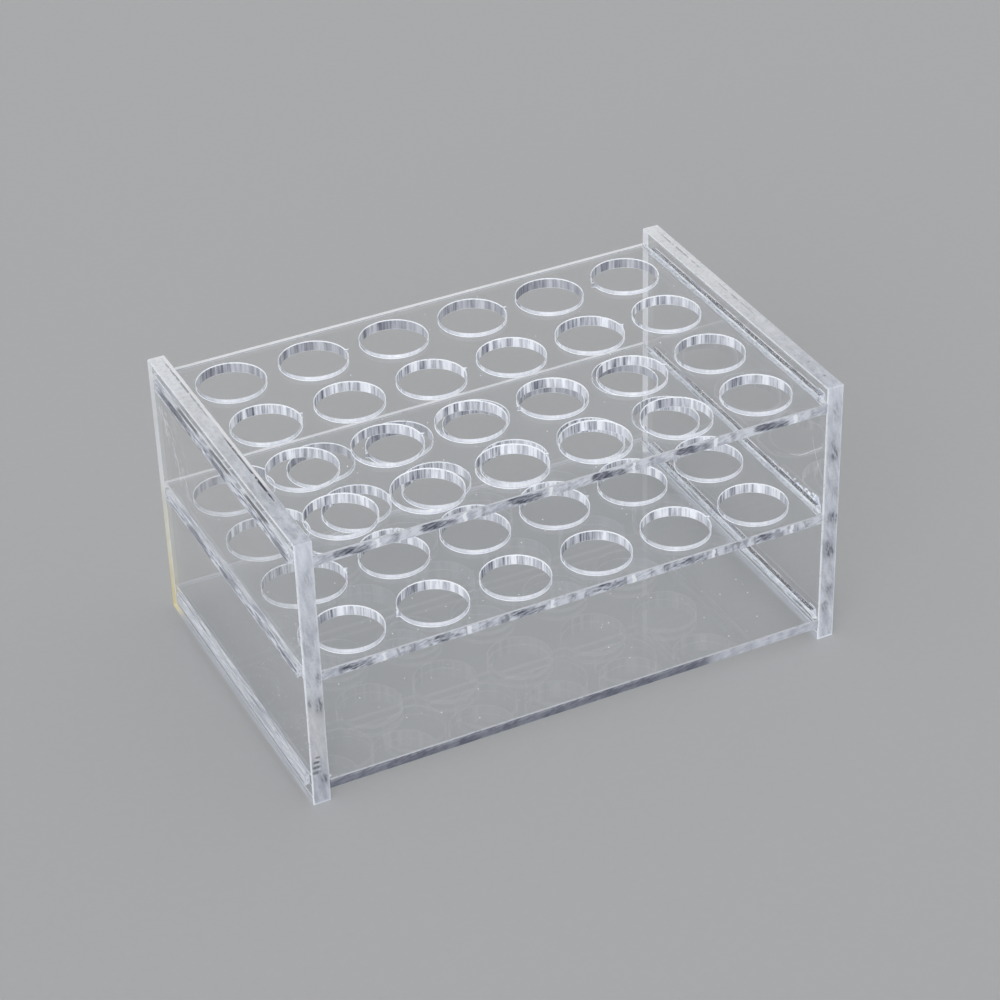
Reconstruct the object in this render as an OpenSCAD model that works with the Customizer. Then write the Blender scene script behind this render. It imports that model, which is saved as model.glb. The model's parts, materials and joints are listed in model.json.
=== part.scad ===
// Rack for microcentrifuge tubes, cut from clear acrylic sheet and cemented together.
// Each of its three shelves has a tab at both ends, which passes through a slot in an end plate.
// X runs along the rack, Y from its front to its back, and Z up.
// The origin is on the bench, under the middle of the rack.

/* [Overall size] */
// Length of the rack, over the outer faces of the end plates
rack_w = 100; // [70:0.5:200]
// Depth of every sheet, from its front edge to its back edge
rack_d = 64.4; // [45:0.1:140]
// Height of the end plates
rack_h = 52; // [40:0.5:90]

/* [Acrylic sheet] */
// Thickness of the two end plates
end_plate_t = 3.2; // [2:0.1:6]
// Thickness of the three shelves
shelf_t = 2; // [1.5:0.1:4]
// Width of the small bevel along the arrises of the outer edges
arris = 0.25; // [0.1:0.05:0.5]

/* [Tabs and slots] */
// From the front and back edges of every sheet to the ends of its tabs or slots
tab_inset = 3; // [2:0.1:10]
// How much longer and higher a slot is than the tab that is cemented into it
slot_clearance = 0.1; // [0.05:0.01:0.3]

/* [Shelf heights] */
// From the top of the end plates down to the top shelf's upper face
top_shelf_drop = 3; // [1:0.5:8]
// From the top shelf's upper face down to the middle shelf's upper face
guide_drop = 22.25; // [12:0.25:26]
// From the bench up to the base shelf's lower face
base_shelf_lift = 2.5; // [1:0.5:6]

/* [Tube wells] */
// Diameter of the wells, for tubes of 1.5 and 2 millilitres
well_d = 12; // [8:0.1:18]
// Sheet left between neighbouring wells along the rack
web_x = 3.3; // [1.5:0.1:8]
// Sheet left between neighbouring wells across the rack
web_y = 3.5; // [1.5:0.1:8]
// Least sheet left between a well and an edge of its shelf
rim_min = 1.5; // [1:0.1:5]
// Most wells in one line along the rack
columns_max = 6; // [1:1:12]
// Most wells in one line across the rack
rows_max = 4; // [1:1:8]

/* [Hidden] */
$fn = 96;

// the shoulders of the shelves butt against the end plates' inner faces
shelf_w = rack_w - 2 * end_plate_t;

// the tabs end flush with the end plates' outer faces, in slots cut a little larger than the tabs
tab_d = rack_d - 2 * tab_inset;
slot_d = tab_d + slot_clearance;
slot_h = shelf_t + slot_clearance;

// lower faces of the three shelves
top_shelf_z = rack_h - top_shelf_drop - shelf_t;
middle_shelf_z = top_shelf_z - guide_drop;
base_shelf_z = base_shelf_lift;

// the wells: as many as there is room for, centred on the shelf
pitch_x = well_d + web_x;
pitch_y = well_d + web_y;
columns = min(columns_max, floor((shelf_w - 2 * rim_min + web_x) / pitch_x));
rows = min(rows_max, floor((rack_d - 2 * rim_min + web_y) / pitch_y));

// how far a cutter runs past the sheet that it cuts
overcut = 1;

// A rectangle about the origin with its four corners cut off at 45 degrees.
module bevelled_outline(width, height, bevel) {
    x = width / 2;
    y = height / 2;
    polygon([
        [-x + bevel, -y], [x - bevel, -y], [x, -y + bevel], [x, y - bevel],
        [x - bevel, y], [-x + bevel, y], [-x, y - bevel], [-x, -y + bevel]
    ]);
}

// Lays a solid that was extruded up Z along X: what was X becomes Y, and what was Y becomes Z.
module laid_along_x() {
    rotate([90, 0, 90]) children();
}

// Lays a solid that was extruded up Z along Y: X stays, and what was Y becomes Z.
module laid_along_y() {
    rotate([90, 0, 0]) children();
}

// A sheet standing on the bench, with all its arrises bevelled.
module standing_sheet() {
    translate([0, 0, rack_h / 2])
        intersection() {
            linear_extrude(rack_h, center = true)
                bevelled_outline(end_plate_t, rack_d, arris);
            laid_along_y()
                linear_extrude(rack_d, center = true)
                    bevelled_outline(end_plate_t, rack_h, arris);
            laid_along_x()
                linear_extrude(end_plate_t, center = true)
                    bevelled_outline(rack_d, rack_h, arris);
        }
}

// The cutters for the three slots of an end plate, one for the tab of each shelf.
module slots() {
    for (bottom_z = [top_shelf_z, middle_shelf_z, base_shelf_z])
        translate([0, 0, bottom_z + shelf_t / 2])
            cube([end_plate_t + 2 * overcut, slot_d, slot_h], center = true);
}

// An end plate about its own middle plane at centre_x.
module end_plate(centre_x) {
    translate([centre_x, 0, 0])
        difference() {
            standing_sheet();
            slots();
        }
}

// A shelf with its lower face at bottom_z, as deep as the rack between its shoulders, with a tab at each end.
module shelf_sheet(bottom_z) {
    translate([0, 0, bottom_z + shelf_t / 2]) {
        laid_along_x()
            linear_extrude(shelf_w, center = true)
                bevelled_outline(rack_d, shelf_t, arris);
        cube([rack_w, tab_d, shelf_t], center = true);
    }
}

// The grid of cutters for the wells of a shelf with its lower face at bottom_z.
module wells(bottom_z) {
    for (column = [0 : columns - 1], row = [0 : rows - 1])
        translate([
            (column - (columns - 1) / 2) * pitch_x,
            (row - (rows - 1) / 2) * pitch_y,
            bottom_z - overcut
        ])
            cylinder(h = shelf_t + 2 * overcut, d = well_d);
}

module left_end_plate() {
    color([0.86, 0.88, 0.92, 0.5]) end_plate(-(rack_w - end_plate_t) / 2);
}

module right_end_plate() {
    color([0.86, 0.88, 0.92, 0.5]) end_plate((rack_w - end_plate_t) / 2);
}

// Carries the tubes by their collars.
module top_shelf() {
    color([0.88, 0.90, 0.94, 0.4])
        difference() {
            shelf_sheet(top_shelf_z);
            wells(top_shelf_z);
        }
}

// Keeps the tubes upright, with its wells under those of the top shelf.
module middle_shelf() {
    color([0.88, 0.90, 0.94, 0.4])
        difference() {
            shelf_sheet(middle_shelf_z);
            wells(middle_shelf_z);
        }
}

// Plain sheet under the tips of the tubes, which also ties the feet of the end plates together.
module base_shelf() {
    color([0.80, 0.83, 0.88, 0.4]) shelf_sheet(base_shelf_z);
}

left_end_plate();
right_end_plate();
top_shelf();
middle_shelf();
base_shelf();
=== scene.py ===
import json
import math

import bmesh
import bpy
import numpy as np
from mathutils import Matrix, Vector


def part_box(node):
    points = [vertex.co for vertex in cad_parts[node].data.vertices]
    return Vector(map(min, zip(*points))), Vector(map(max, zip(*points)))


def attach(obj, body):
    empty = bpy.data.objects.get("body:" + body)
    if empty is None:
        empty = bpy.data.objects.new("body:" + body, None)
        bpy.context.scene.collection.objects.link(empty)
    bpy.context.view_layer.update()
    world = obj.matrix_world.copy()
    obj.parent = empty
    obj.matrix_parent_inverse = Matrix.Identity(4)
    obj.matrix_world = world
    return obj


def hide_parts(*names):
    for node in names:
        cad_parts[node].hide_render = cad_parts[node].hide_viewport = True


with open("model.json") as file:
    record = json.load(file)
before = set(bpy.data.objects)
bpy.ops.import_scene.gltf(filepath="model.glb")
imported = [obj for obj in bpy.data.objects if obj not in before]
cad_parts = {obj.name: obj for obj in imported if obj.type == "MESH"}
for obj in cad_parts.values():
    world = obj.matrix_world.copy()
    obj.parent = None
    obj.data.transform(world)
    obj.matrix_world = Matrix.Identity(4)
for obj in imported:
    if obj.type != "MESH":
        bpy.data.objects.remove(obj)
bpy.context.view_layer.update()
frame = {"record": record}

mm = 0.001


# Camera
# It stands past the rack's front left corner and looks down on it through a long lens, leaning a little to
# one side. Its place is in millimetres from the middle of the rack's foot.
camera_place = Vector((-179.97, -381.32, 306.30)) * mm
heading = math.radians(-25.38)
height = math.radians(33.63)
lean = math.radians(-1.78)

backwards = Vector((
    math.sin(heading) * math.cos(height),
    -math.cos(heading) * math.cos(height),
    math.sin(height),
))
level = Vector((0, 0, 1)).cross(backwards).normalized()
upright = backwards.cross(level)
rightwards = math.cos(lean) * level + math.sin(lean) * upright
upwards = math.cos(lean) * upright - math.sin(lean) * level
camera_data = bpy.data.cameras.new("camera")
camera_data.sensor_width = 36
camera_data.lens = 104.59
camera_data.clip_start = 0.01
camera_data.clip_end = 100
camera = bpy.data.objects.new("camera", camera_data)
turn = Matrix((rightwards, upwards, backwards)).transposed().to_4x4()
camera.matrix_world = Matrix.Translation(camera_place) @ turn
bpy.context.scene.collection.objects.link(camera)
bpy.context.scene.camera = camera


# End plates
# Two sheets of 3.2 mm clear cast acrylic, cut out by laser with three slots each for the shelves' tabs.
# Their faces keep the polish of the sheet, their cut edges are cloudy, and their arrises are scraped and
# painted bright as a highlight.

# The plates' faces and edges in millimetres, for the patterns.
inner_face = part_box("right_end_plate")[0].x / mm
outer_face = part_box("right_end_plate")[1].x / mm
plate_middle = (inner_face + outer_face) / 2
front_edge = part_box("right_end_plate")[0].y / mm
rear_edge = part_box("right_end_plate")[1].y / mm
plate_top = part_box("right_end_plate")[1].z / mm
# Sizes in metres, for the meshes.
arris = 0.18 * mm
tab_inset = 3 * mm
slot_gap = 0.05 * mm
same_point = 0.001 * mm

acrylic_ior = 1.49
edge_white = (0.70, 0.725, 0.79, 1)
edge_grey = (0.42, 0.445, 0.51, 1)
smudge_grey = (0.10, 0.105, 0.14, 1)
cut_white = (0.90, 0.93, 0.99, 1)
# The white of the painted highlights on the plates' fronts.
highlight_white = (0.86, 0.90, 0.98, 1)
bright_white = (0.97, 0.975, 0.985, 1)
age_warm = (0.60, 0.60, 0.585, 1)
age_cream = (0.86, 0.83, 0.66, 1)
age_yellow = (0.76, 0.66, 0.32, 1)


class Value:
    """One output of a shader node. Sums and products of values add the Math nodes that work them out."""

    def __init__(self, socket):
        self.socket = socket
        self.tree = socket.id_data

    def node(self, kind, settings, sockets, output=0):
        """Adds a node: first its settings, then each socket named gets its number, colour or link."""
        made = self.tree.nodes.new("ShaderNode" + kind)
        for name, setting in settings.items():
            setattr(made, name, setting)
        for name, given in sockets.items():
            if isinstance(given, Value):
                self.tree.links.new(given.socket, made.inputs[name])
            else:
                made.inputs[name].default_value = given
        return Value(made.outputs[output]) if made.outputs else None

    def maths(self, operation, *numbers):
        return self.node("Math", {"operation": operation}, dict(enumerate(numbers)))

    def __add__(self, other):
        return self.maths("ADD", self, other)

    def __sub__(self, other):
        return self.maths("SUBTRACT", self, other)

    def __rsub__(self, other):
        return self.maths("SUBTRACT", other, self)

    def __mul__(self, other):
        return self.maths("MULTIPLY", self, other)

    __radd__ = __add__
    __rmul__ = __mul__

    def __abs__(self):
        return self.maths("ABSOLUTE", self)

    def larger(self, other):
        return self.maths("MAXIMUM", self, other)

    def along(self, axis):
        """One coordinate of a place."""
        return self.node("SeparateXYZ", {}, {0: self}, axis)

    def scaled(self, factors):
        """A place with each of its coordinates multiplied."""
        return self.node("VectorMath", {"operation": "MULTIPLY"}, {0: self, 1: factors})

    def rise(self, low, high):
        """0 up to low, then a smooth climb to 1 at high."""
        bounds = {"Value": self, "From Min": low, "From Max": high}
        return self.node("MapRange", {"interpolation_type": "SMOOTHSTEP"}, bounds)

    def noise(self, size, detail=2, rough=0.5):
        """Clouds about so many millimetres across, around one half."""
        sockets = {"Vector": self, "Scale": 1 / size, "Detail": detail, "Roughness": rough}
        return self.node("TexNoise", {}, sockets)

    def wavering(self, scale, reach):
        """A place shifted by clouds, along each axis by up to its reach and on average by half of that."""
        waver = self.node("TexNoise", {}, {"Vector": self, "Scale": scale, "Detail": 2}, 1)
        return self.node("VectorMath", {"operation": "ADD"}, {0: self, 1: waver.scaled(reach)})

    def shade(self, low, high):
        """A colour that is low where this value is 0 and high where it is 1."""
        return self.node("Mix", {"data_type": "RGBA"}, {0: self, 6: low, 7: high}, 2)

    def spot(self, centre, size):
        """1 at a centre, fading smoothly to 0 at the rim of an ellipsoid of those half sizes."""
        shifted = self.node("VectorMath", {"operation": "SUBTRACT"}, {0: self, 1: centre})
        stretched = shifted.scaled([1 / half for half in size])
        reach = stretched.node("VectorMath", {"operation": "LENGTH"}, {0: stretched}, 1)
        return 1 - reach.rise(0.35, 1)


def new_material(name):
    """An empty material, and the place on the rack in millimetres, on which its patterns are built."""
    material = bpy.data.materials.new(name)
    material.use_nodes = True
    material.node_tree.nodes.clear()
    coordinates = Value(material.node_tree.nodes.new("ShaderNodeTexCoord").outputs["Object"])
    return material, coordinates.scaled([1 / mm] * 3)


def surfaced(material, place, shader):
    """Gives a material its finished shader."""
    place.node("OutputMaterial", {}, {"Surface": shader})
    return material


def shone_through(place, shader, tint):
    """A shader that lets the lamps shine through it, tinted."""
    passing = place.node("BsdfTransparent", {}, {"Color": tint})
    shadow_ray = place.node("LightPath", {}, {}, "Is Shadow Ray")
    return place.node("MixShader", {}, {0: shadow_ray, 1: shader, 2: passing})


def clear_face(name):
    """Polished acrylic with a slight swell and a few hairlines. What lies behind it shows through."""
    material, place = new_material(name)
    strands = place.scaled([0.5, 0.12, 0.6]).noise(1.4, 2)
    hairline = (1 - abs(strands - 0.5).rise(0.0, 0.006)) * place.noise(6, 1).rise(0.56, 0.62)
    swell = place.noise(9, 1) + 0.05 * hairline
    relief = place.node("Bump", {}, {"Strength": 0.3, "Distance": 0.02 * mm, "Height": swell})
    acrylic = place.node("BsdfPrincipled", {}, {
        "Base Color": (0.985, 0.99, 0.995, 1), "Roughness": 0, "IOR": acrylic_ior,
        "Transmission Weight": 1, "Normal": relief})
    return surfaced(material, place, shone_through(place, acrylic, (0.96, 0.965, 0.97, 1)))


def cloudy(place, colour, grain, relief_depth, rough, clearness, painted_glow=0.15):
    """Laser-cut acrylic: cloudy white, with fine lines along the beam that cut it. It also glows a little in
    its own colour, a painted glow that stands in for the light the sheet gathers and lets out at its cuts."""
    lines = place.scaled(grain).noise(0.22, 3, 0.7)
    relief = place.node("Bump", {}, {"Strength": relief_depth, "Distance": 0.06 * mm, "Height": lines})
    skin = place.node("BsdfPrincipled", {}, {
        "Base Color": colour, "Roughness": rough, "IOR": acrylic_ior, "Transmission Weight": clearness,
        "Normal": relief, "Emission Color": colour, "Emission Strength": painted_glow})
    glow = place.node("BsdfTranslucent", {}, {"Color": colour, "Normal": relief})
    body = place.node("MixShader", {}, {0: 0.3, 1: skin, 2: glow})
    return shone_through(place, body, (0.65, 0.66, 0.67, 1))


def left_edge_tints(place, colour, top, front, rear):
    """The left plate's edges: a bright line along the inner side of the top and a front that is greyer
    towards its foot; and age: a warm tint low down, and at the rear cream up to the middle shelf, turning
    yellow towards the foot."""
    inner_line = 1 - abs(place.along(0) + (inner_face + 0.4)).rise(0.1, 0.3)
    colour = (top * inner_line * place.along(1).rise(-18, -12)).shade(colour, bright_white)
    front_foot = front * (1 - place.along(2).rise(7, 15))
    colour = (0.30 * front_foot).shade(colour, (0.30, 0.315, 0.36, 1))
    low_down = place.along(2).rise(6, 12) * (1 - place.along(2).rise(17, 26))
    colour = (0.45 * low_down).shade(colour, age_warm)
    colour = (rear * (1 - place.along(2).rise(14, 32))).shade(colour, age_cream)
    rear_foot = rear * (1 - place.along(2).rise(2, 15))
    rear_underside = place.along(1).rise(27, 31) * (1 - place.along(2).rise(0.5, 2))
    return (0.95 * rear_foot).larger(0.9 * rear_underside).shade(colour, age_yellow)


def smudged(place, slanted, colour, smudges):
    """Smudges: dark threads along the veins, in a faint halo. Their outlines waver, and each is moved by
    half of the waver's reach, so that it stays centred on its place."""
    reach = 0.8
    ragged = place.wavering(0.7, [reach] * 3)
    threads = slanted.scaled([1.8, 1, 0.35]).noise(0.5, 2, 0.6).rise(0.38, 0.60)
    for centre, size, depth in smudges:
        middle = [part + reach / 2 for part in centre]
        halo = ragged.spot(middle, [1.9 * half for half in size])
        mark = ragged.spot(middle, size) * threads
        colour = (0.18 * depth * halo).shade(colour, smudge_grey)
        colour = (0.95 * depth * mark).shade(colour, smudge_grey)
    return colour


def plate_edge(name, smudges, scores, aged):
    """The outer edges of an end plate: slanting veins with fine grain, painted shade on the underside, a top
    that whitens towards the rear, and a white rear. The front is paler towards its top, with painted
    highlights near both its faces and just above its foot. Over that come, on the left plate, age and other
    tints, then smudges, and scores: fine dark lines with breaks."""
    material, place = new_material(name)
    slanted = place.node("Mapping", {}, {"Vector": place, "Rotation": (0, 0.21, 0)})
    veins = slanted.scaled([1.6, 0.6, 0.35]).noise(1.5, 3, 0.6).rise(0.22, 0.72)
    colour = veins.shade(edge_grey, edge_white)
    grain = place.noise(0.3, 2).rise(0.48, 0.70)
    colour = (0.16 * grain).shade(colour, smudge_grey)
    # Painted shade on the underside, where the plate stands on the floor.
    underside = 1 - place.along(2).rise(0.05, 0.15)
    colour = (0.75 * underside).shade(colour, (0.38, 0.39, 0.43, 1))
    top = place.along(2).rise(plate_top - 0.3, plate_top - 0.1)
    grey_until, white_from = (-30, 30) if aged else (-45, 15)
    rearwards = place.along(1).rise(grey_until, white_from)
    whiter = top * rearwards * place.noise(0.8, 3, 0.7).rise(0.1, 0.6)
    colour = (0.85 * whiter).shade(colour, (0.93, 0.94, 0.955, 1))
    front = 1 - place.along(1).rise(front_edge + 0.1, front_edge + 0.3)
    colour = (0.38 * front * place.along(2).rise(26, 50)).shade(colour, (0.80, 0.84, 0.93, 1))
    # Painted highlights: bright lines near both faces of the front, and one just above its foot.
    border_highlights = abs(abs(place.along(0)) - plate_middle).rise(1.20, 1.40) * veins.rise(0.0, 0.4)
    colour = (0.7 * front * border_highlights).shade(colour, highlight_white)
    foot_highlight = place.along(2).rise(0.12, 0.2) * (1 - place.along(2).rise(0.40, 0.65))
    colour = (0.9 * front * foot_highlight).shade(colour, highlight_white)
    rear = place.along(1).rise(rear_edge - 0.8, rear_edge - 0.1)
    colour = (0.8 * rear).shade(colour, (0.90, 0.91, 0.93, 1))
    if aged:
        colour = left_edge_tints(place, colour, top, front, rear)
    colour = smudged(place, slanted, colour, smudges)
    breaks = place.scaled([1, 0.5, 0.5]).noise(0.8, 2).rise(0.30, 0.46)
    for centre, size, depth in scores:
        colour = (depth * place.spot(centre, size) * breaks).shade(colour, (0.03, 0.035, 0.05, 1))
    return surfaced(material, place, cloudy(place, colour, [0.15, 1, 1], 0.35, 0.42, 0.15))


def bright_arris(name, white, painted_glow):
    """A scraped arris, painted nearly white as a highlight, with greyer breaks in it, and with a painted
    glow.
    """
    material, place = new_material(name)
    breaks = place.noise(0.9, 3, 0.6).rise(0.28, 0.48)
    greyer = [white * part for part in (0.64, 0.68, 0.77)] + [1]
    whitest = [white * part for part in (0.93, 0.96, 1.02)] + [1]
    colour = breaks.shade(greyer, whitest)
    return surfaced(material, place, cloudy(place, colour, [1, 1, 1], 0.4, 0.3, 0.1, painted_glow))


def slot_floor(name):
    """The lower wall and the ends of a slot: cut white, with a few long grey runs."""
    material, place = new_material(name)
    runs = place.scaled([1.2, 0.12, 1.2]).noise(0.9, 3, 0.6).rise(0.56, 0.64)
    dry = place.noise(0.7, 3).rise(0.3, 0.6).shade((0.60, 0.63, 0.72, 1), cut_white)
    colour = (0.7 * runs).shade(dry, smudge_grey)
    return surfaced(material, place, cloudy(place, colour, [0.2, 1, 1], 0.4, 0.35, 0.1, 0.25))


def slot_roof(name, inner_x, dashes, bubbly):
    """The upper wall of a slot: cut white with grey threads, and a wavering line half way through the sheet
    that cement has wetted dark here and there. In the topmost slot the dashes given are dark too, and in a
    bubbly slot the line runs nearly all the way, with bubbles in it."""
    material, place = new_material(name)
    threads = place.scaled([1, 0.13, 1]).noise(1.0, 2, 0.6)
    inwards = abs(place.along(0) - inner_x) + 0.7 * place.scaled([1, 0.4, 1]).noise(1.5, 2) - 0.35
    line = inwards.rise(0.4, 0.8) * (1 - inwards.rise(2.5, 2.9))
    wetted = (0.012, 0.014, 0.02, 1)
    if bubbly:
        wet = 0.95 * threads.rise(0.40, 0.48)
        bubbles = 1 - place.node("TexVoronoi", {}, {"Vector": place, "Scale": 1.9}).rise(0.22, 0.36)
        wetted = bubbles.shade(wetted, bright_white)
    else:
        wet = 0.35 * threads.rise(0.52, 0.60)
    topmost = place.along(2).rise(40, 45)
    for middle, half, depth in dashes:
        dash = 1 - abs(place.along(1) - middle).rise(0.6 * half, half)
        wet = wet.larger(depth * topmost * dash)
    dry = threads.rise(0.38, 0.58).shade((0.32, 0.34, 0.42, 1), cut_white)
    colour = (wet * line).shade(dry, wetted)
    return surfaced(material, place, cloudy(place, colour, [0.2, 1, 1], 0.4, 0.35, 0.1, 0.22))


def welded(name, patches, materials):
    """One mesh from patches, each a stack of grids of points with the number of its material.
    Neighbouring points of a grid are joined in fours, and points that fall together become one."""
    points = np.concatenate([grid.reshape(-1, 3) for grid, slot in patches])
    faces = []
    slots = []
    start = 0
    for grid, slot in patches:
        index = start + np.arange(grid[..., 0].size).reshape(grid.shape[:-1])
        ring = (index[..., :-1, :-1], index[..., 1:, :-1], index[..., 1:, 1:], index[..., :-1, 1:])
        faces.append(np.stack(ring, -1).reshape(-1, 4))
        slots.append(np.full(len(faces[-1]), slot))
        start += grid[..., 0].size
    mesh = bpy.data.meshes.new(name)
    mesh.from_pydata(points.tolist(), [], np.concatenate(faces).tolist())
    mesh.polygons.foreach_set("material_index", np.concatenate(slots).astype(np.int32))
    for material in materials:
        mesh.materials.append(material)
    joined = bmesh.new()
    joined.from_mesh(mesh)
    bmesh.ops.remove_doubles(joined, verts=joined.verts, dist=same_point)
    bmesh.ops.recalc_face_normals(joined, faces=joined.faces)
    joined.to_mesh(mesh)
    joined.free()
    mesh.shade_smooth()
    mesh.set_sharp_from_angle(angle=math.radians(32))
    piece = bpy.data.objects.new(name, mesh)
    bpy.context.scene.collection.objects.link(piece)
    return piece


def spread(x, y, z):
    """Points from three coordinates, each a number or an array, spread over one another's shape."""
    return np.stack(np.broadcast_arrays(x, y, z), -1).astype(float)


def sheet_with_slots(low, high, slot_heights):
    """The patches of an upright sheet across the rack: two faces of rectangles between the lines of the
    slots, the slots' walls, and round the outline a profile of bevel, cut edge and bevel."""
    clear, cut, bevel, slot_lower, slot_upper = range(5)
    slot_end = high.y - tab_inset + slot_gap
    lines_y = np.array([low.y + arris, -slot_end, slot_end, high.y - arris])
    lines_z = np.concatenate([[low.z + arris], np.ravel(slot_heights), [high.z - arris]])
    column, row = np.meshgrid(np.arange(3), np.arange(len(lines_z) - 1), indexing="ij")
    solid = (column != 1) | (row % 2 == 0)
    across = np.stack([lines_y[column[solid]], lines_y[column[solid] + 1]], -1)[:, :, None]
    along = np.stack([lines_z[row[solid]], lines_z[row[solid] + 1]], -1)[:, None, :]
    patches = [(spread(x, across, along), clear) for x in (low.x, high.x)]

    profile_x = np.array([low.x, low.x + arris, high.x - arris, high.x])
    profile_out = np.array([0, arris, arris, 0])
    sides = [
        (lines_y, lines_z[0], 0, -1),
        (lines_y[-1], lines_z, 1, 0),
        (lines_y[::-1], lines_z[-1], 0, 1),
        (lines_y[0], lines_z[::-1], -1, 0),
    ]
    strips = []
    for y, z, out_y, out_z in sides:
        y, z = np.broadcast_arrays(y, z)
        profile_y = y[:, None] + out_y * profile_out
        profile_z = z[:, None] + out_z * profile_out
        strips.append(spread(profile_x, profile_y, profile_z))
    for side, strip in enumerate(strips):
        corner = np.stack([strip[-1], strips[(side + 1) % 4][0]])
        patches += [(strip[:, :2], bevel), (strip[:, 1:3], cut), (strip[:, 2:], bevel), (corner, cut)]

    through = np.array([low.x, high.x])
    ends = np.array([-slot_end, slot_end])
    for bottom, top in slot_heights:
        patches += [
            (spread(through, ends[:, None], bottom), slot_lower),
            (spread(through, ends[:, None], top), slot_upper),
            (spread(through, ends[:, None, None], np.array([bottom, top])[:, None]), slot_lower),
        ]
    return patches


shelf_names = ("base_shelf", "middle_shelf", "top_shelf")
slot_heights = [(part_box(name)[0].z - slot_gap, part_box(name)[1].z + slot_gap) for name in shelf_names]
# Each smudge and each score has the place of its centre, its half sizes and how dark it is.
plate_smudges = {
    "left_end_plate": [
        ((-47.8, front_edge, 5.1), (0.9, 1, 1.4), 0.95),
        ((-47.7, front_edge, 20.2), (0.8, 1, 2.0), 0.85),
        ((-49.3, front_edge, 21.0), (0.6, 1, 1.2), 0.6),
        ((-47.5, front_edge, 25.6), (0.7, 1, 1.3), 0.8),
        ((-48.7, front_edge, 33.0), (1.4, 1, 4.0), 0.2),
        ((-47.9, front_edge, 45.2), (0.9, 1, 2.8), 0.3),
    ],
    "right_end_plate": [
        ((48.0, front_edge, 7.2), (0.9, 1, 1.6), 0.55),
        ((48.8, front_edge, 10.6), (1.0, 1, 1.4), 0.7),
        ((48.6, front_edge, 18.6), (1.2, 1, 1.8), 0.95),
        ((48.1, front_edge, 20.0), (0.8, 1, 1.4), 0.7),
        ((49.2, front_edge, 25.5), (0.9, 1, 1.6), 1.0),
        ((48.2, front_edge, 25.6), (0.9, 1, 1.3), 0.5),
        ((48.9, front_edge, 30.5), (1.2, 1, 2.6), 0.3),
        ((48.8, front_edge, 38.6), (1.0, 1, 1.8), 0.85),
        ((48.3, front_edge, 40.4), (0.9, 1, 1.8), 0.4),
        ((48.6, front_edge, 47.0), (1.3, 1, 2.9), 0.35),
    ],
}
plate_scores = {
    "left_end_plate": [
        ((-49.05, front_edge, 6.75), (1.25, 1, 0.5), 0.6),
        ((-49.00, front_edge, 7.80), (1.0, 1, 0.45), 0.75),
        ((-48.95, front_edge, 8.80), (0.80, 1, 0.40), 0.85),
        ((-48.70, front_edge, 9.75), (0.65, 1, 0.28), 0.7),
        ((-47.7, -13.5, plate_top), (0.27, 8, 1), 1.3),
        ((-47.7, -3, plate_top), (0.22, 8, 1), 0.9),
        ((-47.7, 12, plate_top), (0.20, 4, 1), 0.4),
        ((-47.7, 22, plate_top), (0.26, 11, 1), 0.6),
    ],
    "right_end_plate": [
        ((48.75, 2, plate_top), (0.22, 10, 1), 0.4),
        ((48.7, 22, plate_top), (0.24, 11, 1), 0.5),
        ((48.6, -28.2, plate_top), (0.35, 0.4, 1), 0.5),
        ((48.6, -23.0, plate_top), (0.35, 0.4, 1), 0.5),
    ],
}
# Each dash in a slot's roof has its middle, half of its length and how dark it is.
roof_dashes = {
    "left_end_plate": [
        (-15.4, 6.0, 0.95),
        (-8.0, 1.2, 0.5),
        (0.4, 5.6, 0.95),
        (7.0, 1.4, 0.5),
        (14.8, 5.8, 0.9),
    ],
    "right_end_plate": [],
}
plate_clear = clear_face("plate_clear")
plate_arris = bright_arris("plate_arris", 0.82, 0.2)
for node, smudges in plate_smudges.items():
    low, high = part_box(node)
    on_left = node == "left_end_plate"
    inner_x = math.copysign(inner_face, low.x)
    plate = welded(node + "_sheet", sheet_with_slots(low, high, slot_heights), [
        plate_clear,
        plate_edge(node + "_cut_edge", smudges, plate_scores[node], aged=on_left),
        plate_arris,
        slot_floor(node + "_slot_floor"),
        slot_roof(node + "_slot_roof", inner_x, roof_dashes[node], bubbly=not on_left),
    ])
    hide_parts(node)
    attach(plate, "root")


# Shelves
# Three sheets of 2 mm clear acrylic with a tab at each end. The upper two have 24 laser-cut wells, whose
# walls are streaked from top to bottom and some of which keep the nick where the beam went in.
clear, cut, rim, wall, tab, bevel = range(6)
shoulder = inner_face * mm - 0.01 * mm
well_lip = 0.14 * mm
nick_depth = 0.65 * mm
steps_per_side = 36
cell_sweep = np.tan(np.radians(np.linspace(-45, 45, steps_per_side + 1)))[:-1]
# The wells that have a nick, and its side: 0 is the right one, 1 the rear, 2 the left and 3 the front.
nicks = {
    "top_shelf": {"a2": 0, "a4": 0, "b1": 0, "b3": 0, "b5": 0, "c2": 0, "c5": 0, "d3": 0, "a6": 2, "c4": 2},
    "middle_shelf": {"b2": 0, "c1": 0, "c4": 0, "d5": 0, "d2": 2, "a3": 2},
    "base_shelf": {},
}
wells = {
    mount["name"].removeprefix("well_"): mount
    for mount in frame["record"]["mounts"] if mount["kind"] == "bore"
}
well_places = np.array([well["pos_m"][:2] for well in wells.values()])
well_radius = wells["a1"]["dims"]["r_mm"] * mm
pitch_x = wells["a2"]["pos_m"][0] - wells["a1"]["pos_m"][0]
pitch_y = wells["a1"]["pos_m"][1] - wells["b1"]["pos_m"][1]


def within_cell(place, axis, pitch):
    """How far across its well's cell a place is, from 0 to 1. The well's axis is at one half."""
    return place.maths("FRACT", place.along(axis) * (mm / pitch) + 10)


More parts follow.
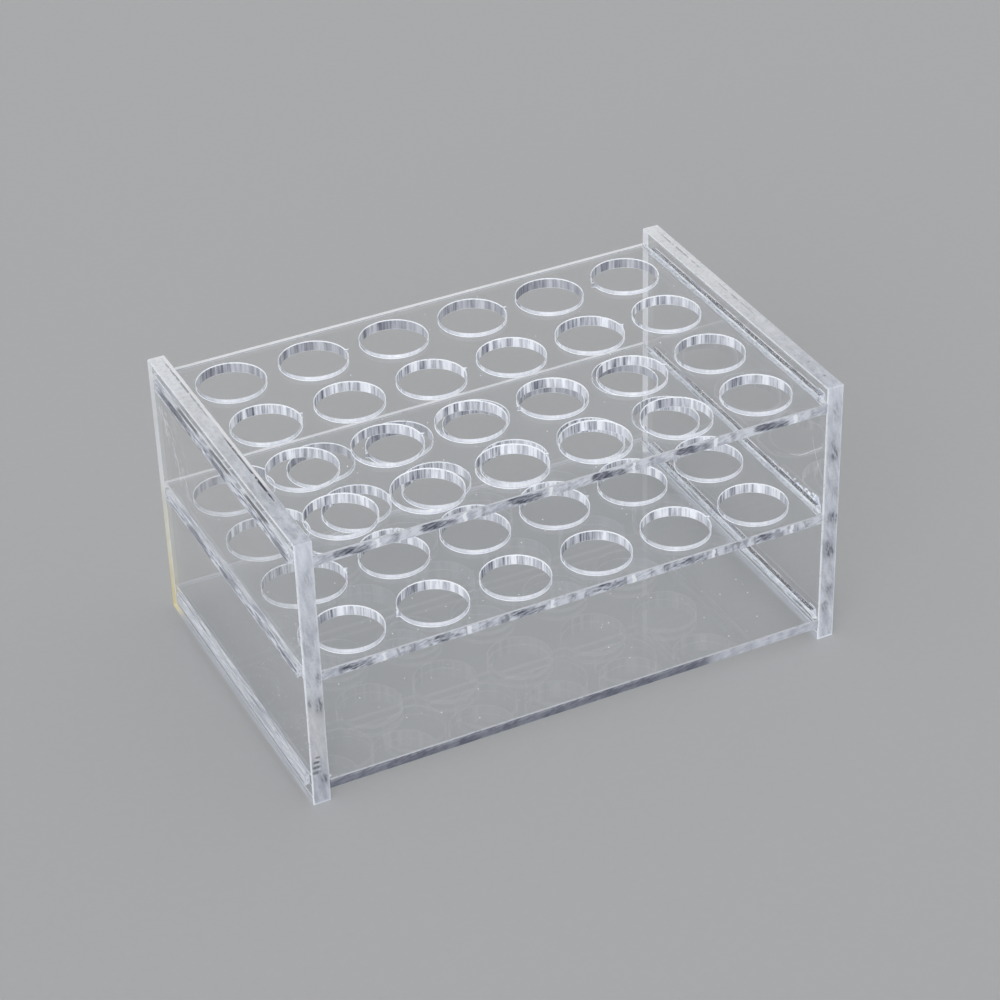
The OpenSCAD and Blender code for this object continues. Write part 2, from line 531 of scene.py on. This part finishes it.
def painted_well_reflections(place, threads, streaks, middle_height, contrast, broken):
    """An upper shelf's front edge, with a painted reflection of the wells behind it: at each a bright
    upright line, a painted highlight, to its left a dark patch of painted shade that slopes down to the
    right, and to its right a faint dark line. Threads cut into the patches, and the more broken they are,
    the more dark runs lie between them."""
    wobble = place.scaled([1, 1, 1.6]).noise(1.6, 3, 0.6)
    beside = (within_cell(place, 0, pitch_x) - 0.5) * (pitch_x / mm) + 1.6 * wobble - 0.8
    above = place.along(2) - middle_height + 0.9 * wobble - 0.45
    slope = abs(above + 0.16 * beside + 0.35)
    dark = beside.rise(-5.8, -4.6) * (1 - beside.rise(0.4, 1.6)) * (1 - slope.rise(0.46, 0.95))
    dark = dark * (1 - 0.35 * beside.rise(-2.8, -1.2)) + 0.4 * (1 - abs(beside - 5.7).rise(0.1, 0.6))
    dark = dark * (1 - (0.35 + 0.6 * broken) * threads.rise(0.46, 0.60))
    dark = dark.larger(broken * place.scaled([1, 1, 0.3]).noise(1.1, 2).rise(0.52, 0.64))
    bright = 1 - abs(beside - 2.4).rise(0.15, 0.45)
    darkest = threads.rise(0.36, 0.54).shade((0.03, 0.035, 0.055, 1), (0.16, 0.17, 0.21, 1))
    colour = streaks.rise(0.40, 0.58).shade(edge_grey, edge_white)
    colour = (contrast * dark).shade(colour, darkest)
    return (contrast * bright).shade(colour, cut_white)


def base_front(place, threads, streaks, middle_height):
    """The base's front edge: dark grey streaks, a little whiter above, and paler at the right end."""
    right_end = streaks.rise(0.30, 0.65).shade((0.40, 0.42, 0.49, 1), (0.66, 0.685, 0.755, 1))
    darker = streaks.rise(0.35, 0.62).shade((0.10, 0.108, 0.15, 1), (0.235, 0.25, 0.305, 1))
    left = 1 - place.along(0).rise(23, 28)
    colour = (0.95 * left).shade(right_end, darker)
    upper_runs = place.along(2).rise(middle_height + 0.1, middle_height + 0.6) * threads.rise(0.4, 0.6)
    return (0.3 * left * upper_runs).shade(colour, edge_white)


def shelf_edge(name, contrast, broken, middle_height):
    """The front and back edges of a shelf, with slanting threads and streaks. The back one is nearly white
    above a grey border, and greyer on the base, which is the shelf without contrast."""
    material, place = new_material(name)
    slanted = place.node("Mapping", {}, {"Vector": place, "Rotation": (0, 0.25, 0)})
    threads = slanted.scaled([0.35, 1, 1.8]).noise(0.6, 3, 0.65)
    streaks = 0.5 * place.scaled([1, 1, 0.6]).noise(2.2, 3, 0.55) + 0.5 * threads
    if contrast:
        # On the upper shelves the front edge gets a painted reflection of the wells behind it.
        colour = painted_well_reflections(place, threads, streaks, middle_height, contrast, broken)
        back_white = 1
    else:
        colour = base_front(place, threads, streaks, middle_height)
        back_white = 0.4
    above_border = place.along(2).rise(middle_height - 0.6, middle_height - 0.4)
    behind = (back_white * above_border).shade((0.42, 0.43, 0.48, 1), bright_white)
    colour = place.along(1).rise(-1, 1).shade(colour, behind)
    return surfaced(material, place, cloudy(place, colour, [1, 1, 0.15], 0.35, 0.36, 0.15))


def well_wall(name, middle_height):
    """The wall of a well: upright streaks from clear grey to white, over fine lines along the beam. Over
    them, painted light and shade: a painted highlight on the front of the wall, whitest in its middle and
    dimmer at its right end, with painted shade in its lower half and towards its ends; a fainter painted
    highlight on the right side; and painted shade on the far walls of the back row."""
    material, place = new_material(name)
    upright = place.scaled([1, 1, 0.06])
    blocks = upright.noise(1.5, 2, 0.6).rise(0.42, 0.66)
    threads = upright.noise(0.3, 2).rise(0.35, 0.6)
    beside = within_cell(place, 0, pitch_x)
    front = 1 - within_cell(place, 1, pitch_y).rise(0.30, 0.55)
    # Painted highlight: whiter on the front of the wall, less at its right end, and a little whiter on the
    # right side.
    painted_highlight = (front * (0.8 - 0.45 * beside.rise(0.62, 0.80))).larger(0.35 * beside.rise(0.45, 0.85))
    white = 0.65 * blocks + 0.35 * threads
    colour = (white + painted_highlight * (1 - white)).shade((0.075, 0.083, 0.12, 1), (0.89, 0.92, 0.985, 1))
    # Painted shade on the far walls of the back row.
    back_row_shade = place.along(1).rise(16, 18) * (1 - front)
    colour = (0.5 * back_row_shade).shade(colour, (0.16, 0.165, 0.20, 1))
    # Painted shade in the lower half of the front.
    lower = 1 - place.along(2).rise(middle_height - 0.75, middle_height - 0.35)
    colour = (0.45 * front * lower).shade(colour, (0.40, 0.415, 0.47, 1))
    # Painted shade towards both ends of the front.
    turning = abs(beside - 0.5).rise(0.16, 0.36)
    colour = (0.42 * front * turning).shade(colour, (0.36, 0.375, 0.43, 1))
    # A stronger painted glow than on the other cuts.
    return surfaced(material, place, cloudy(place, colour, [1, 1, 0.04], 0.5, 0.3, 0.15, 0.42))


def tab_end(name, patches):
    """The end of a tab, flush with the end plate: cut white with fine grey lines along it, whiter on the
    base, and patches of fine dark streaks where cement has wetted it. The patches' outlines waver, and each
    is moved by half of the waver's reach."""
    material, place = new_material(name)
    threads = place.scaled([1, 0.12, 1]).noise(0.5, 3, 0.7)
    paler = (0.7 * (1 - place.along(2).rise(8, 20))).larger(threads.rise(0.38, 0.58))
    colour = paler.shade((0.17, 0.185, 0.24, 1), (0.86, 0.89, 0.975, 1))
    reach_y, reach_z = 3, 0.6
    ragged = place.wavering(0.5, [0, reach_y, reach_z])
    for (along, height), (half_length, half_height), depth in patches:
        centre = (-outer_face, along + reach_y / 2, height + reach_z / 2)
        wet = ragged.spot(centre, (3, half_length, half_height))
        colour = (0.3 * depth * wet).shade(colour, smudge_grey)
        streaks = wet * threads.rise(0.46, 0.55)
        colour = (1.2 * depth * streaks).shade(colour, (0.04, 0.045, 0.065, 1))
    return surfaced(material, place, cloudy(place, colour, [1, 1, 0.2], 0.35, 0.35, 0.15, 0.18))


def well_rings(shelf_nicks):
    """Round each well, the points of its cell's outline and the directions and radii of its wall. The
    outline is met at equal angles along each side: half a side times the tangent of the angle."""
    one = np.ones(steps_per_side)
    loop_x = np.concatenate([one, -cell_sweep, -one, cell_sweep, [1]]) * pitch_x / 2
    loop_y = np.concatenate([cell_sweep, one, -cell_sweep, -one, [-1]]) * pitch_y / 2
    outline = np.stack([loop_x, loop_y], -1)
    direction = outline / np.linalg.norm(outline, axis=1, keepdims=True)
    radius = np.full((len(wells), len(outline)), well_radius)
    for well, side in shelf_nicks.items():
        radius[list(wells).index(well), steps_per_side // 2 + steps_per_side * side] += nick_depth
    return outline, direction, radius


def cell_lines(first, places, pitch, last):
    """Lines over a shelf's face from its first to its last, with a cell round each place between them. They
    cross a cell at equal angles: half a pitch times the tangent of the angle."""
    middles = np.unique(places)
    crossing = (middles[:, None] + cell_sweep * pitch / 2).ravel()
    return np.concatenate([[first], crossing, [middles[-1] + pitch / 2, last]])


def pierced_faces(low, high, lines_x, lines_y, shelf_nicks):
    """The patches of a shelf's two faces, from the outlines of the cells in to the wells' rims and in the
    margins round all the cells, with the small lip at each rim and the wells' walls."""
    outline, direction, radius = well_rings(shelf_nicks)
    cells = well_places[:, None] + outline
    rims = well_places[:, None] + direction * (radius + well_lip)[..., None]
    walls = well_places[:, None] + direction * radius[..., None]
    ring = np.stack([rims, cells], 1)
    lip = np.stack([rims, walls], 1)
    margins = (
        (lines_x, lines_y[:2]),
        (lines_x, lines_y[-2:]),
        (lines_x[:2], lines_y[1:-1]),
        (lines_x[-2:], lines_y[1:-1]),
    )
    wall_z = np.array([low.z + well_lip, high.z - well_lip])[:, None]
    patches = [(spread(walls[:, None, :, 0], walls[:, None, :, 1], wall_z), wall)]
    for face_z, inward in ((low.z, 1), (high.z, -1)):
        lip_z = np.array([face_z, face_z + inward * well_lip])[:, None]
        patches.append((spread(ring[..., 0], ring[..., 1], face_z), clear))
        patches.append((spread(lip[..., 0], lip[..., 1], lip_z), rim))
        for margin_x, margin_y in margins:
            patches.append((spread(margin_x[:, None], margin_y, face_z), clear))
    return patches


def shoulders_and_tabs(low, high, lines_y, tab_side):
    """The patches at a shelf's two ends: the faces, sides and flush end of the tab, and on either hand of
    it the shoulder, with the corner in which the shelf's bevelled edge ends."""
    both_z = np.array([low.z, high.z])
    tab_lines = lines_y[abs(lines_y) <= tab_side + same_point]
    patches = []
    for outward in (-1, 1):
        near = outward * shoulder
        far = outward * high.x
        ends = np.array([near, far])[:, None]
        patches.append((spread(far, tab_lines[:, None], both_z), tab))
        patches += [(spread(ends, tab_lines, z), clear) for z in both_z]
        for side in (-1, 1):
            beyond = lines_y[side * lines_y >= tab_side - same_point]
            corner_y = side * np.array([[high.y - arris] * 2, [high.y] * 2])
            corner_z = np.array([both_z, both_z + np.array([arris, -arris])])
            patches += [
                (spread(ends, side * tab_side, both_z), clear),
                (spread(near, beyond[:, None], both_z), clear),
                (spread(near, corner_y, corner_z), clear),
            ]
    return patches


def shelf_sheet(low, high, shelf_nicks, with_wells):
    """The patches of a shelf: its two faces, pierced or plain, a profile of bevel, cut edge and bevel along
    its front and its back, and its ends."""
    tab_side = high.y - tab_inset
    if with_wells:
        lines_x = cell_lines(-shoulder, well_places[:, 0], pitch_x, shoulder)
        lines_y = cell_lines(low.y + arris, well_places[:, 1], pitch_y, high.y - arris)
        tab_side = lines_y[np.argmin(abs(lines_y - tab_side))]
        patches = pierced_faces(low, high, lines_x, lines_y, shelf_nicks)
    else:
        lines_x = np.array([-shoulder, shoulder])
        lines_y = np.array([low.y + arris, -tab_side, tab_side, high.y - arris])
        patches = [(spread(lines_x[:, None], lines_y, z), clear) for z in (low.z, high.z)]

    profile_z = np.array([low.z, low.z + arris, high.z - arris, high.z])
    for edge, inward in ((low.y, 1), (high.y, -1)):
        profile_y = edge + inward * arris * np.array([1, 0, 0, 1])
        strip = spread(lines_x[:, None], profile_y, profile_z)
        patches += [(strip[:, :2], bevel), (strip[:, 1:3], cut), (strip[:, 2:], bevel)]
    return patches + shoulders_and_tabs(low, high, lines_y, tab_side)


shelf_clear = clear_face("shelf_clear")
# The wells' rims are painted nearly white as a highlight, with a stronger painted glow.
well_rim = bright_arris("well_rim", 0.95, 0.35)
shelf_arris = bright_arris("shelf_arris", 0.64, 0.12)
# Each wetted patch on the left tab ends has its place along and up, its half sizes and how dark it is.
wetted_patches = [
    ((-25.4, 48.0), (4.5, 0.9), 0.6),
    ((1.0, 47.9), (5.0, 1.0), 0.8),
    ((20.0, 48.1), (10.0, 1.2), 0.8),
    ((-25.2, 25.6), (4.5, 0.8), 0.4),
    ((-14.5, 25.5), (4.5, 1.1), 0.25),
    ((0.5, 25.6), (5.5, 1.1), 0.45),
    ((15.0, 25.6), (6.0, 1.2), 0.6),
    ((-10.0, 3.6), (9.0, 0.8), 0.3),
]
flush_end = tab_end("tab_end", wetted_patches)
# How strongly the painted reflection of the wells shows in each shelf's front edge, and how broken its dark
# patches are.
edge_looks = {"top_shelf": (1.25, 0.1), "middle_shelf": (1.0, 0.6), "base_shelf": (0, 0)}
for node, (contrast, broken) in edge_looks.items():
    low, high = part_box(node)
    patches = shelf_sheet(low, high, nicks[node], node != "base_shelf")
    middle_height = (low.z + high.z) / 2 / mm
    shelf = welded(node + "_sheet", patches, [
        shelf_clear,
        shelf_edge(node + "_cut_edge", contrast, broken, middle_height),
        well_rim,
        well_wall(node + "_well_wall", middle_height),
        flush_end,
        shelf_arris,
    ])
    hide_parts(node)
    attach(shelf, "root")


# Cement
# Solvent cement, run into the joints and set hard: a hollow fillet along each joint inside the rack, a thin
# line along the lower lip of each slot, a hook round each tab's front end, and beads where it ran over.
# Its sizes and places are in millimetres.
cement_chance = np.random.default_rng(5)
joint_end = rear_edge - 0.3
fillet_steps = 120
fillet_bend = 7
sunk = 0.02
lip_depth = 0.2
tab_front = front_edge + tab_inset / mm + 0.2
# The hook's middle line, along the rack's depth and up from the middle of the tab.
hook_shape = np.array([
    (-27.4, 1.30), (-28.6, 1.38), (-29.3, 1.30), (-29.7, 0.6), (-29.5, -0.6), (-29.2, -1.25), (-28.2, -1.3),
])
# How far a fillet flares at its front end, by shelf, by end (-1 is the left) and by face (-1 is the lower).
slight_flare = 0.15
flares = {
    ("top_shelf", -1, 1): 1.1,
    ("top_shelf", -1, -1): 1.5,
    ("top_shelf", 1, -1): 0.6,
    ("middle_shelf", -1, -1): 0.8,
    ("base_shelf", -1, 1): 0.5,
    ("base_shelf", 1, 1): 0.6,
}


def cement_skin(name, low_white, high_white, rough):
    """Set cement: clear white and glossy, with paler and greyer runs."""
    material, place = new_material(name)
    runs = place.scaled([1, 0.5, 1]).noise(0.8, 3, 0.6).rise(0.3, 0.6)
    colour = runs.shade(low_white, high_white)
    return surfaced(material, place, cloudy(place, colour, [1, 1, 1], 0.3, rough, 0.25))


def uneven(steps, count, low, high, spacing):
    """Rows of smoothly varying numbers: random values at every so many steps, joined by half cosines."""
    knots = cement_chance.uniform(low, high, (count, steps // spacing + 2))
    place = np.arange(steps) / spacing
    before = place.astype(int)
    blend = (1 - np.cos(math.pi * (place - before))) / 2
    return knots[:, before] * (1 - blend) + knots[:, before + 1] * blend


def joint_fillet(side, z, face, flare):
    """A fillet between a shelf's face and an end plate. Its hollow profile is one leg times 1 minus the
    sine of the bend, and the other times 1 minus the cosine, and its back is sunk into both sheets. The legs
    vary along the joint, swell exponentially towards its front by the flare, and taper at both ends."""
    along_y = np.linspace(-joint_end, joint_end, fillet_steps)
    bend = np.linspace(0, math.pi / 2, fillet_bend)
    taper = np.minimum(1, (joint_end - abs(along_y)) / 0.5)
    swell = flare * np.exp(-(along_y + joint_end) / 1.1)
    leg_x = (uneven(fillet_steps, 1, 0.12, 0.34, 6)[0] + 1.3 * swell) * taper + 0.001
    leg_z = (uneven(fillet_steps, 1, 0.14, 0.36, 6)[0] + 0.7 * swell) * taper + 0.001
    back = np.full((fillet_steps, 1), -sunk)
    profile_x = np.concatenate([back, leg_x[:, None] * (1 - np.sin(bend)) - sunk, back], 1)
    profile_z = np.concatenate([back, leg_z[:, None] * (1 - np.cos(bend)) - sunk, back], 1)
    wall_x = side * inner_face
    grid = spread(wall_x - side * profile_x, along_y[:, None], z + face * profile_z)
    grid[0] = (wall_x + side * sunk, -joint_end, z - face * sunk)
    grid[-1] = (wall_x + side * sunk, joint_end, z - face * sunk)
    return grid


def threads_along(paths, radii, sides=8):
    """Round threads, one for each path: at each point of a path a ring of the radius there, square to the
    path and to the rack's length. Over its first and its last three steps each thread tapers to a point."""
    steps = np.arange(radii.shape[1])
    radii = radii * np.minimum(1, np.minimum(steps, steps[::-1]) / 3)
    run = np.gradient(paths, axis=1)
    run /= np.linalg.norm(run, axis=2, keepdims=True)
    across = np.cross(run, (1.0, 0, 0))
    across /= np.linalg.norm(across, axis=2, keepdims=True)
    outward = np.cross(across, run)
    turn = np.linspace(0, 2 * math.pi, sides + 1)[:, None]
    ring = np.cos(turn) * outward[:, :, None] + np.sin(turn) * across[:, :, None]
    return paths[:, :, None] + radii[:, :, None, None] * ring


def rounded(path, cuts=3):
    """A path with its corners cut at a quarter and three quarters of each stretch, so many times over."""
    path = np.array(path, dtype=float)
    for cut in range(cuts):
        before = path[:-1]
        after = path[1:]
        quarters = np.stack([0.75 * before + 0.25 * after, 0.25 * before + 0.75 * after], 1)
        path = np.concatenate([path[:1], quarters.reshape(-1, 2), path[-1:]])
    return path


def drops(centres, halves):
    """Smooth drops, one for each centre: at equal steps from pole to pole a ring as wide as the sine."""
    down = np.linspace(0, math.pi, 7)[:, None]
    turn = np.linspace(0, 2 * math.pi, 11)
    ball = spread(np.sin(down) * np.cos(turn), np.sin(down) * np.sin(turn), np.cos(down))
    return centres[:, None, None] + halves[:, None, None] * ball


fillet_grids = []
for side in (-1, 1):
    for node in shelf_names:
        for corner, face in zip(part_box(node), (-1, 1)):
            flare = flares.get((node, side, face), slight_flare)
            fillet_grids.append(joint_fillet(side, corner.z / mm, face, flare))
cement = cement_skin("cement", (0.66, 0.69, 0.76, 1), (0.91, 0.94, 0.99, 1), 0.22)
fillets = welded("joint_fillets", [(np.array(fillet_grids) * mm, 0)], [cement])
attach(fillets, "root")

lip_y = np.linspace(tab_front, -tab_front, 150)
hook = rounded(hook_shape)
lip_paths = []
hook_paths = []
for side in (-1, 1):
    for bottom, top in np.array(slot_heights) / mm:
        lip_x = side * (outer_face - lip_depth)
        lip_paths.append(spread(lip_x, lip_y, bottom + 0.04))
        hook_paths.append(spread(lip_x, hook[:, 0], (bottom + top) / 2 + hook[:, 1]))
lip_radii = uneven(len(lip_y), len(lip_paths), 0.03, 0.14, 5)
hook_radii = uneven(len(hook), len(hook_paths), 0.08, 0.17, 6)
lips = welded("slot_lips", [(threads_along(np.array(lip_paths), lip_radii) * mm, 0)], [cement])
hooks = welded("tab_hooks", [(threads_along(np.array(hook_paths), hook_radii) * mm, 0)], [cement])
for piece in (lips, hooks):
    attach(piece, "root")

# The beads sit over the right end of the middle shelf, and are largest and highest at its front.
bead_count = 60
bead_y = tab_front + 17 * cement_chance.uniform(0, 1, bead_count) ** 1.8
bead_swell = np.interp(bead_y, [tab_front, -24, -12], [1.5, 1.2, 0.6])
bead_size = cement_chance.uniform(0.10, 0.24, bead_count) * bead_swell
bead_reach = np.interp(bead_y, [tab_front, -24, -14], [1.0, 0.7, 0.2])
bead_rise = 0.6 * bead_size + bead_reach * cement_chance.uniform(0, 1, bead_count) ** 2
bead_places = spread(outer_face - 0.35, bead_y, slot_heights[1][1] / mm + bead_rise)
bead_halves = bead_size[:, None] * np.array([0.9, 1.2, 1])
beads = welded("run_over_beads", [(drops(bead_places, bead_halves) * mm, 0)], [cement])
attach(beads, "root")


# Wear
# Marks of use: short steep scuffs on the left end plate's outer face and grit lower down on it, two long
# scratches on the right one's inner face, all just below the polish, and dust that lies on the shelves.
wear_chance = np.random.default_rng(11)
scuff_white = cement_skin("scuffed_acrylic", (0.74, 0.76, 0.81, 1), (0.92, 0.935, 0.97, 1), 0.5)
# The scuffs start in a band that slants down towards the front, and each runs a little way down with it.
scuff_count = 90
drift = wear_chance.uniform(0, 1, scuff_count)
scuff_start = np.stack([27.5 - 10.5 * drift, 45.5 - 13 * drift], -1)
scuff_start += wear_chance.normal(0, 1, (scuff_count, 2)) * (1.3, 0.8)
run_forwards = wear_chance.uniform(-0.9, -0.1, scuff_count)
run_down = wear_chance.uniform(-1.8, -0.4, scuff_count)
scuff_run = np.stack([run_forwards, run_down], -1)
stretch = np.linspace(0, 1, 9)[:, None]
scuff_yz = scuff_start[:, None] + stretch * scuff_run[:, None] + 0.08 * np.sin(5 * stretch)
scuff_paths = spread(0.05 - outer_face, scuff_yz[..., 0], scuff_yz[..., 1])
scuff_radii = np.repeat(wear_chance.uniform(0.018, 0.045, scuff_count)[:, None], len(stretch), 1)
scratch_shapes = (
    [(-20.9, 32.9), (-24.2, 34.2), (-28.0, 37.4), (-31.2, 39.9)],
    [(-28.0, 40.4), (-28.8, 37.8), (-30.2, 35.6), (-31.7, 33.8)],
)
scratch_yz = np.array([rounded(shape) for shape in scratch_shapes])
scratch_paths = spread(inner_face + 0.05, scratch_yz[..., 0], scratch_yz[..., 1])
scratch_radii = wear_chance.uniform(0.015, 0.045, scratch_paths.shape[:2])
scuffs = welded("scuffs", [(threads_along(scuff_paths, scuff_radii, 6) * mm, 0)], [scuff_white])
scratches = welded("scratches", [(threads_along(scratch_paths, scratch_radii, 6) * mm, 0)], [scuff_white])
for piece in (scuffs, scratches):
    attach(piece, "root")

# Specks of dust lie clear of the wells' rims, and anywhere on the base.
speck_count = 260
speck_floor = wear_chance.choice([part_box(name)[1].z / mm for name in shelf_names], speck_count)
speck_half = wear_chance.uniform(0.04, 0.12, speck_count)
speck_x = wear_chance.uniform(-46, 46, speck_count)
speck_y = wear_chance.uniform(-31, 31, speck_count)
speck_places = spread(speck_x, speck_y, speck_floor + 0.01)
from_well = np.linalg.norm(speck_places[:, None, :2] - well_places / mm, axis=-1).min(1)
on_base = speck_floor == speck_floor.min()
kept = on_base | (from_well > well_radius / mm + 0.4)
flat = speck_half[:, None] * np.array([1.0, 1.4, 0.5])
dust_white = cement_skin("dust_grains", (0.80, 0.81, 0.83, 1), (0.97, 0.975, 0.98, 1), 0.6)
dust = welded("dust", [(drops(speck_places[kept], flat[kept]) * mm, 0)], [dust_white])
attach(dust, "root")

# Grit is thickest low down at the front of the left plate.
grit_count = 130
grit_y = -31 + 34 * wear_chance.uniform(0, 1, grit_count) ** 1.6
grit_z = wear_chance.uniform(5.5, 45, grit_count) * wear_chance.uniform(0.3, 1, grit_count)
grit_half = wear_chance.uniform(0.03, 0.085, grit_count)
grit_places = spread(0.06 - outer_face, grit_y, grit_z)
grit_halves = grit_half[:, None] * np.array([0.5, 1, 1.3])
grit = welded("grit", [(drops(grit_places, grit_halves) * mm, 0)], [dust_white])
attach(grit, "root")


# Floor and light
# A matt pale grey bench top under a uniform dome of light, with a broad soft lamp above the rack's front
# left.
# Both lamps are sampled from the surfaces only, so that their light also counts in full in the acrylic.
floor_grey = (0.42, 0.425, 0.435, 1)
floor_drop = 0.02 * mm
floor_rings = np.array([0, 0.5, 2, 8, 40])[:, None]
bearing = np.linspace(0, 2 * math.pi, 65)
floor_points = spread(floor_rings * np.cos(bearing), floor_rings * np.sin(bearing), -floor_drop)
matt, place = new_material("matt_bench")
flecks = place.noise(1.5, 3).shade((0.41, 0.415, 0.425, 1), (0.43, 0.435, 0.445, 1))
surfaced(matt, place, place.node("BsdfPrincipled", {}, {"Base Color": flecks, "Roughness": 0.9}))
floor = welded("bench_top", [(floor_points, 0)], [matt])

world = bpy.data.worlds.new("studio")
world.use_nodes = True
world.node_tree.nodes.clear()
seen = Value(world.node_tree.nodes.new("ShaderNodeLightPath").outputs["Is Camera Ray"])
for ray in ("Is Glossy Ray", "Is Transmission Ray"):
    seen = seen.larger(seen.node("LightPath", {}, {}, ray))
backdrop = seen.node("Background", {}, {"Color": floor_grey, "Strength": seen})
seen.node("OutputWorld", {}, {"Surface": backdrop})
bpy.context.scene.world = world
world.cycles.sampling_method = "NONE"

# Each lamp has the direction that its light comes from, its width in degrees and its strength.
lamps = {
    "sky_dome": ((0, 0, 1), 179, 0.6 * math.pi),
    "soft_lamp": ((-0.63, -0.66, 0.48), 40, 1.9),
}
for name, (source, width, energy) in lamps.items():
    lamp_data = bpy.data.lights.new(name, "SUN")
    lamp_data.energy = energy
    lamp_data.angle = math.radians(width)
    lamp_data.cycles.use_multiple_importance_sampling = False
    lamp = bpy.data.objects.new(name, lamp_data)
    lamp.rotation_euler = Vector(source).to_track_quat("Z", "Y").to_euler()
    bpy.context.scene.collection.objects.link(lamp)

view = bpy.context.scene.view_settings
view.view_transform = "Standard"
cycles = bpy.context.scene.cycles
cycles.caustics_reflective = False
cycles.caustics_refractive = False
cycles.max_bounces = 24
cycles.transmission_bounces = 24
cycles.glossy_bounces = 10
cycles.diffuse_bounces = 4
cycles.transparent_max_bounces = 32
